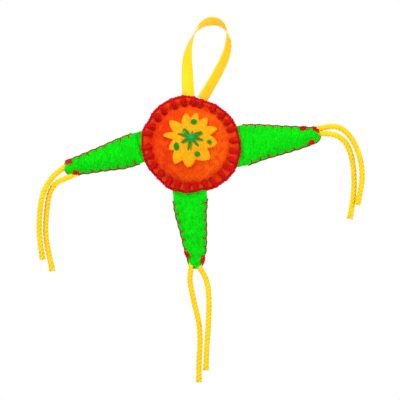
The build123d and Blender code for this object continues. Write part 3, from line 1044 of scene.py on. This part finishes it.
class STAR_OT_disc_stitches(bpy.types.Operator):
    """Thick yarn along the edge of the disc and its blanket stitches"""
    bl_idname = "star.disc_stitches"
    bl_label = "Blanket stitch of the disc"

    def execute(self, context):
        yarn = context.scene.star_yarn
        felt = context.scene.star_felt
        steps = 720
        line = []
        for step in range(steps):
            angle = 2 * math.pi * step / steps
            radius = ring_radius(angle)
            wave = 0.18 * MM * math.sin(9 * angle) + 0.1 * MM * math.sin(23 * angle)
            line.append(DISC + Vector((radius * math.cos(angle), wave, radius * math.sin(angle))))
        edge = twisted_yarn(line, yarn.edge, 3, 4.6 * MM, closed=True)
        edge_piece = mesh_piece("disc_edge_yarn", *edge, "red_yarn", "disc")
        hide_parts("disc_blanket_stitch")

        source = edge_loop("disc_stitch_source", 0.0, -yarn.stitch_reach,
                           felt.thickness + yarn.stitch * 0.5, yarn.stitch, 3, 3.6 * MM,
                           "red_yarn")
        places = []
        for degrees in DISC_STITCHES:
            angle = math.radians(degrees)
            places.append((DISC + heading(angle) * ring_radius(angle), (0, -angle, 0)))
        piece = grow("disc_stitches", stitch_points(places), "stitches", "red_yarn",
                     {"Stitch": source, "Lean": 0.16, "Least size": 0.84, "Seed": 4})
        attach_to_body(piece, "disc")
        bpy.data.objects.remove(source)
        return {"FINISHED"}


def petal_edge(angle):
    """Distance from the flower's centre to its cut edge at an angle in degrees."""
    low, high, share = neighbours(PETAL_TIPS + PETAL_NOTCHES, angle)
    if low < high:
        share = 1 - share
    tip, notch = max(low, high), min(low, high) - NOTCH_CUT
    return (tip - (tip - notch) * share ** 1.3) * MM


class STAR_OT_flower(bpy.types.Operator):
    """Felt flower that follows the front of the disc"""
    bl_idname = "star.flower"
    bl_label = "Flower"

    def execute(self, context):
        felt = context.scene.star_felt.thickness
        spokes = 540
        edge = []
        for spoke in range(spokes):
            near = [petal_edge(360 * (spoke + shift) / spokes) for shift in (-3, -1.5, 0, 1.5, 3)]
            edge.append(sum(near) / len(near))
        rings = [(0.12, 1.0), (0.3, 1.0), (0.5, 1.0), (0.68, 1.0), (0.82, 1.0), (0.9, 1.0),
                 (0.955, 0.94), (0.985, 0.75), (1.0, 0.45), (0.99, 0.1), (0.9, 0.0), (0.6, 0.0),
                 (0.3, 0.0)]
        offset = FLOWER - DISC
        corners, faces = [], []
        for share, height in rings:
            for spoke in range(spokes):
                angle = 2 * math.pi * spoke / spokes
                across = offset.x + share * edge[spoke] * math.cos(angle)
                up = offset.z + share * edge[spoke] * math.sin(angle)
                ripple = 0.18 * MM * math.sin(11 * angle) * share
                lift = FLOWER_GAP + height * felt + ripple
                corners.append(on_disc(across, up, lift))
        count = len(rings)
        for ring in range(count - 1):
            low, high = ring * spokes, (ring + 1) * spokes
            for spoke in range(spokes):
                turn = (spoke + 1) % spokes
                faces.append((low + spoke, high + spoke, high + turn, low + turn))
        for ring, lift, order in ((0, felt + FLOWER_GAP, 1), (count - 1, FLOWER_GAP, -1)):
            corners.append(on_disc(offset.x, offset.z, lift))
            middle = len(corners) - 1
            for spoke in range(spokes):
                turn = (spoke + 1) % spokes
                face = (middle, ring * spokes + spoke, ring * spokes + turn)
                faces.append(face[::order])
        piece = mesh_piece("flower_felt", corners, faces, "yellow_felt", "disc")
        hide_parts("flower")
        add_fuzz("flower_fibres", piece, "yellow_felt", "disc", 31, 0.8)
        return {"FINISHED"}


class STAR_OT_embroidery(bpy.types.Operator):
    """Floss star and wound knots on the flower"""
    bl_idname = "star.embroidery"
    bl_label = "Embroidery"

    def execute(self, context):
        floss = context.scene.star_yarn.floss
        felt = context.scene.star_felt.thickness
        draw = random.Random(5)
        top = felt + FLOWER_GAP
        centre = STAR - DISC
        parts = []
        for degrees, reach, strands in STAR_ARMS:
            for strand in range(strands):
                fan = (strand - (strands - 1) / 2) * 0.48 * MM
                way = math.radians(degrees + draw.uniform(-4, 4))
                ahead = heading(way)
                aside = crosswise(ahead)
                far = reach * MM * draw.uniform(0.9, 1.03)
                route = []
                for share, lift in ((0.03, 0.9), (0.2, 1.5), (0.5, 1.1), (0.85, 0.75),
                                    (0.98, 0.2), (1.0, -1.2)):
                    spot = centre + ahead * far * share + aside * fan * math.sin(share * 2.7)
                    route.append(on_disc(spot.x, spot.z, top + lift * floss * 0.8))
                parts.append(twisted_yarn(spline_line(route, 6), floss, 2, 1.6 * MM, sides=6))
        star = mesh_piece("floss_star", *joined(parts), "green_floss", "disc")
        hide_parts("flower_star_stitches")

        parts = []
        for across, up, width, height in KNOTS:
            spot = FLOWER - DISC + Vector((across, 0, up)) * MM
            for layer, (grow_by, lift, turns) in enumerate(((1.0, 0.3, 1.3), (0.84, 0.85, 1.4),
                                                           (0.5, 1.15, 1.2), (0.16, 1.2, 1.1))):
                route = []
                steps = int(turns * 10)
                for step in range(steps + 1):
                    way = 2 * math.pi * turns * step / steps + layer * 1.1
                    shrink = grow_by * (1 - 0.12 * step / steps)
                    x = (width / 2 * MM - floss * 0.6) * shrink * math.cos(way)
                    z = (height / 2 * MM - floss * 0.6) * shrink * math.sin(way)
                    route.append(on_disc(spot.x + x, spot.z + z,
                                         top + lift * floss * 1.3 + 0.1 * MM * math.sin(3 * way)))
                parts.append(twisted_yarn(spline_line(route, 4), floss * 1.35, 2, 1.5 * MM,
                                          sides=6))
        knots = mesh_piece("floss_knots", *joined(parts), "green_floss", "disc")
        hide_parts("flower_knots")
        return {"FINISHED"}


class STAR_OT_points(bpy.types.Operator):
    """Stuffed felt points, each of two layers, with their loose fibres"""
    bl_idname = "star.points"
    bl_label = "Stuffed points"

    def execute(self, context):
        for number, (name, shape) in enumerate(POINTS.items()):
            body = f"{name}_point"
            for side, word in ((FRONT, "front"), (BACK, "back")):
                corners, faces = point_layer(shape, side)
                piece = mesh_piece(f"{name}_{word}_felt", corners, faces, "green_felt")
                fibres = add_fuzz(f"{name}_{word}_fibres", piece, "green_felt", None,
                                  51 + 2 * number + (side == BACK))
                for felt in (piece, fibres):
                    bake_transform(felt)
                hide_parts(f"{name}_point_{word}")
            filling = mesh_piece(f"{name}_filling_fibres", *point_filling(shape),
                                 "fibre_filling", body)
            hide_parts(f"{name}_point_filling")
        return {"FINISHED"}


def edge_thread_line(shape):
    """Line down one side of a point, round its tip and back up the other side."""
    total = shape["length"] * MM
    first, steps = 1.6 * MM, 60
    sides = []
    for side in (-1, 1):
        run = []
        for step in range(steps + 1):
            along = first + (total - first) * math.sin(step / steps * math.pi / 2)
            half, drift = point_outline(shape, along)
            wobble = 0.12 * MM * math.sin(along / MM * 1.3 + side)
            run.append(point_place(shape, along, drift + side * (half + 0.3 * MM), wobble))
        sides.append(run)
    return sides[0] + sides[1][::-1][1:]


def short_stitch_places(shape):
    """Place and turn of each short stitch along the sides of a point."""
    neck = STATION_SHARES[-1] * shape["length"] * MM
    aside = point_frame(shape)[2]
    places = []
    for side in (-1, 1):
        out = aside * side
        along = FIRST_STITCH
        while along < neck:
            half, drift = point_outline(shape, along)
            places.append((point_place(shape, along, drift + side * half, 0),
                           (0, -math.atan2(out.z, out.x), 0)))
            along += bpy.context.scene.star_yarn.pitch
    return places


def tip_wraps(shape):
    """Corners and faces of the turns of yarn that hold a tassel: three turns at each wrap."""
    thickness = bpy.context.scene.star_yarn.wrap
    lift = bpy.context.scene.star_felt.thickness + thickness * 0.42
    parts = []
    for share, side in shape["wraps"]:
        for turn, extra in ((-1.0, -0.2), (0.0, 0.4), (1.0, -0.1)):
            along = share * shape["length"] * MM + turn * thickness
            half, drift = point_outline(shape, along)
            outer, inner = half + 0.2 * thickness, half - (1.6 + extra) * MM
            middle = (outer + inner) / 2
            route = []
            for reach, depth, slide in (
                    (inner, 0.1, 0), (inner, -0.9, 0), (middle, -1.15, 0.4), (outer, -0.75, 0.8),
                    (outer + 0.3 * MM, 0, 1.0), (outer, 0.75, 1.2), (middle, 1.15, 1.6),
                    (inner, 0.9, 2.0), (inner, -0.1, 2.0)):
                route.append(point_place(shape, along + (slide - 1) * 0.25 * MM,
                                         drift + side * reach, depth * lift))
            parts.append(twisted_yarn(spline_line(route, 8), thickness, 2, 2.6 * MM))
    return joined(parts)


class STAR_OT_point_stitches(bpy.types.Operator):
    """Thread round the sides of the points and the yarn wraps that hold the tassels"""
    bl_idname = "star.point_stitches"
    bl_label = "Stitches of the points"

    def execute(self, context):
        thread = context.scene.star_yarn.thread
        reach = context.scene.star_yarn.reach
        felt = context.scene.star_felt.thickness
        for number, (name, shape) in enumerate(POINTS.items()):
            edge = twisted_yarn(edge_thread_line(shape), thread, 2, 1.8 * MM, sides=6)
            piece = mesh_piece(f"{name}_edge_thread", *edge, "rust_thread", f"{name}_point")
            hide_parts(f"{name}_point_stitching")

            source = edge_loop("thread_stitch_source", 0.0, -reach, felt + thread * 0.45, thread,
                               2, 1.8 * MM, "rust_thread")
            stitches = grow(f"{name}_thread_stitches", stitch_points(short_stitch_places(shape)),
                            "stitches", "rust_thread",
                            {"Stitch": source, "Lean": 0.34, "Least size": 0.62,
                             "Seed": 21 + number})
            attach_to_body(stitches, f"{name}_point")
            bpy.data.objects.remove(source)

            wraps = mesh_piece(f"{name}_tip_wraps", *tip_wraps(shape), "red_yarn",
                               f"{name}_point")
            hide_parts(f"{name}_tip_binding")
        return {"FINISHED"}


class STAR_OT_inside(bpy.types.Operator):
    """Finishes of the pieces that lie inside the seams"""
    bl_idname = "star.inside"
    bl_label = "Inner pieces"

    def execute(self, context):
        slots = {entry["node"]: entry["material_slot"] for entry in frame["record"]["subparts"]}
        for name, node in frame["nodes"].items():
            node.data.materials.clear()
            node.data.materials.append(MATERIALS[slots[name]])
        if "single_fibre" in bpy.data.objects:
            bpy.data.objects.remove(bpy.data.objects["single_fibre"])
        return {"FINISHED"}


class STAR_PT_panel(bpy.types.Panel):
    """Sizes, colours and steps of the ornament"""
    bl_label = "Felt star"
    bl_idname = "STAR_PT_panel"
    bl_space_type = "VIEW_3D"
    bl_region_type = "UI"
    bl_category = "Felt star"

    def draw(self, context):
        for group in (context.scene.star_felt, context.scene.star_yarn,
                      context.scene.star_colours):
            box = self.layout.box()
            for name in group.__annotations__:
                box.prop(group, name)
        for operator in OPERATORS:
            self.layout.operator(operator.bl_idname)


OPERATORS = (STAR_OT_stage, STAR_OT_tassels, STAR_OT_ribbon, STAR_OT_disc, STAR_OT_disc_stitches,
             STAR_OT_flower, STAR_OT_embroidery, STAR_OT_points, STAR_OT_point_stitches,
             STAR_OT_inside)
CLASSES = (StarFeltSizes, StarYarnSizes, StarColours, *OPERATORS, STAR_PT_panel)


def register():
    for item in CLASSES:
        bpy.utils.register_class(item)
    bpy.types.Scene.star_felt = PointerProperty(type=StarFeltSizes)
    bpy.types.Scene.star_yarn = PointerProperty(type=StarYarnSizes)
    bpy.types.Scene.star_colours = PointerProperty(type=StarColours)


def unregister():
    del bpy.types.Scene.star_colours
    del bpy.types.Scene.star_yarn
    del bpy.types.Scene.star_felt
    for item in reversed(CLASSES):
        bpy.utils.unregister_class(item)


def main():
    register()
    make_materials(bpy.context.scene.star_colours)
    TREES["stitches"] = stitch_tree()
    TREES["fibres"] = fibre_tree()
    for operator in OPERATORS:
        group, step = operator.bl_idname.split(".")
        getattr(getattr(bpy.ops, group), step)()


if __name__ == "__main__":
    main()
